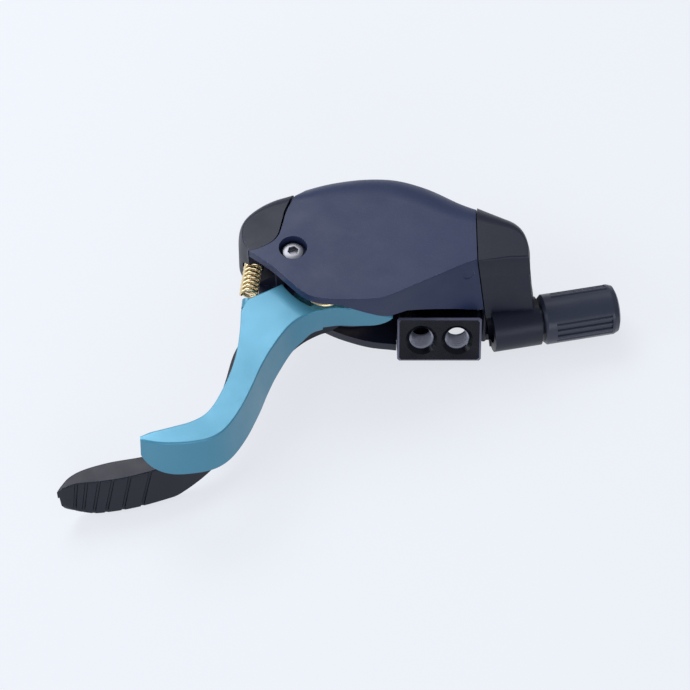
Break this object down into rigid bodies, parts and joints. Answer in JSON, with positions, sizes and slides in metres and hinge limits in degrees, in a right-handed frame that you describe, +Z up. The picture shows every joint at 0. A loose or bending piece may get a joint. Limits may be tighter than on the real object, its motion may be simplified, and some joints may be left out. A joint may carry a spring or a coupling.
{
  "type": "suspension lockout lever",
  "caption": "Handlebar remote with two thumb levers, a flat-topped housing over a ratcheted cable drum, a threaded mounting bar and a barrel adjuster.",
  "frame": {"origin": "on the lever pivot axis, at the underside of the base", "axes": "+X along the length towards the barrel adjuster, the levers point to -X; +Z up along the pivot axis, out of the flat cover; +Y away from the thumb pads' pressing side"},
  "size_m": [0.0963, 0.0588, 0.022],
  "materials": {
    "housing": "fine matt texture",
    "cap": "matt",
    "black_metal": "gloss black anodised",
    "anodised": "satin petrol-blue anodised",
    "spring": "zinc-plated wire",
    "steel": "plain steel",
    "bronze": "plain",
    "drum": "plain"
  },
  "bodies": {
    "housing": {"base_shell": "housing", "top_cover": "housing", "end_cap": "cap", "mount_bracket": "black_metal", "bracket_screws": "steel", "cover_screw": "steel", "base_screws": "steel", "pivot_bolt": "steel", "pivot_nut": "steel", "pivot_washers": "steel", "hold_pawl_pin": "steel", "adjuster_nut": "steel", "coil_spring": "spring", "drum_spring": "spring", "lever_spring": "spring"},
    "pull_lever": {"pull_lever": "black_metal", "lever_bush": "bronze", "pull_pawl_pin": "steel"},
    "pull_pawl": {"pull_pawl": "steel"},
    "drum": {"cable_drum": "drum", "ratchet_wheel": "steel"},
    "release_lever": {"release_lever": "anodised"},
    "hold_pawl": {"hold_pawl": "steel"},
    "casing_slide": {"casing_stop": "steel"},
    "barrel": {"barrel_adjuster": "cap"}
  },
  "joints": [
    {"name": "pull_lever_pivot", "type": "hinge", "parent": "housing", "child": "pull_lever", "pos_m": [0, 0, 0.0075], "axis": [0, 0, 1], "range_deg": [-30, 0], "stiffness_Nm_per_rad": 0.05, "springref_deg": 17.19, "deforming": ["lever_spring"]},
    {"name": "drum_turn", "type": "hinge", "parent": "housing", "child": "drum", "pos_m": [0, 0, 0.012], "axis": [0, 0, 1], "range_deg": [-30, 0], "deforming": ["drum_spring"]},
    {"name": "release_lever_pivot", "type": "hinge", "parent": "housing", "child": "release_lever", "pos_m": [0, 0, 0.0155], "axis": [0, 0, 1], "range_deg": [-14, 0], "stiffness_Nm_per_rad": 0.1, "springref_deg": 17.19, "deforming": ["coil_spring"]},
    {"name": "hold_pawl_pivot", "type": "hinge", "parent": "housing", "child": "hold_pawl", "pos_m": [0.00757, 0.00969, 0.0097], "axis": [0, 0, 1], "range_deg": [0, 12.1]},
    {"name": "pull_pawl_pivot", "type": "hinge", "parent": "pull_lever", "child": "pull_pawl", "pos_m": [-0.00849, -0.00849, 0.0097], "axis": [0, 0, 1], "range_deg": [0, 10], "stiffness_Nm_per_rad": 0.002, "springref_deg": -11.46},
    {"name": "adjuster_travel", "type": "slide", "parent": "housing", "child": "casing_slide", "axis": [0.982, 0.1891, 0], "range_m": [0, 0.0024]},
    {"name": "adjuster_turn", "type": "hinge", "parent": "casing_slide", "child": "barrel", "pos_m": [0.033, -0.0057, 0.005], "axis": [0.982, 0.1891, 0], "range_deg": [0, 1080]}
  ],
  "couplings": [
    {"joint": "drum_turn", "follows": "pull_lever_pivot", "ratio": 1},
    {"joint": "hold_pawl_pivot", "follows": "release_lever_pivot", "ratio": -0.86},
    {"joint": "adjuster_turn", "follows": "adjuster_travel", "rad_per_m": 7854}
  ]
}
